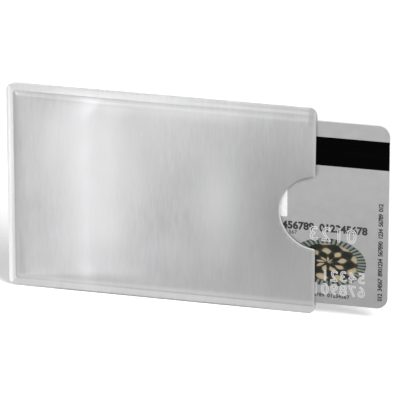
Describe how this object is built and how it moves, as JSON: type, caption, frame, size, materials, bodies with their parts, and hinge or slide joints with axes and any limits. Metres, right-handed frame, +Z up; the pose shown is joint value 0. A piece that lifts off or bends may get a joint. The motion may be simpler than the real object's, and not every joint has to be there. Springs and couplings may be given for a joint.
{
  "type": "rfid card sleeve",
  "caption": "Flat welded foil sleeve with a half-round thumb notch in its open end, shielding a payment-size card that slides in and out.",
  "frame": {"origin": "on the floor, under the middle of the sleeve and card together in the rest pose", "axes": "+X along the sleeve to its mouth, +Y from front to back, +Z up across the card"},
  "size_m": [0.1108, 0.002, 0.061],
  "materials": {
    "silver_film": "vertically brushed metallised film",
    "shield_foil": "bright foil",
    "lining_film": "satin sealing film",
    "card_grey": "satin laminate",
    "card_white": "matte sheet",
    "copper": "etched copper",
    "stripe_black": "satin black",
    "panel_white": "matte writing surface",
    "patch_foil": "printed foil",
    "contact_gold": "gold-plated",
    "potting_black": "potting compound"
  },
  "bodies": {
    "sleeve": {"front_film": "silver_film", "front_shield": "shield_foil", "front_lining": "lining_film", "back_lining": "lining_film", "back_shield": "shield_foil", "back_film": "silver_film"},
    "card": {"card_back_overlay": "card_grey", "card_back_core": "card_grey", "card_inlay": "card_white", "antenna_coil": "copper", "card_front_core": "card_grey", "card_front_overlay": "card_grey", "magnetic_stripe": "stripe_black", "signature_panel": "panel_white", "picture_patch": "patch_foil", "chip_contacts": "contact_gold", "chip_block": "potting_black"}
  },
  "joints": [
    {"name": "card_slide", "type": "slide", "parent": "sleeve", "child": "card", "axis": [1, 0, 0], "range_m": [-0.0216, 0.066]}
  ]
}
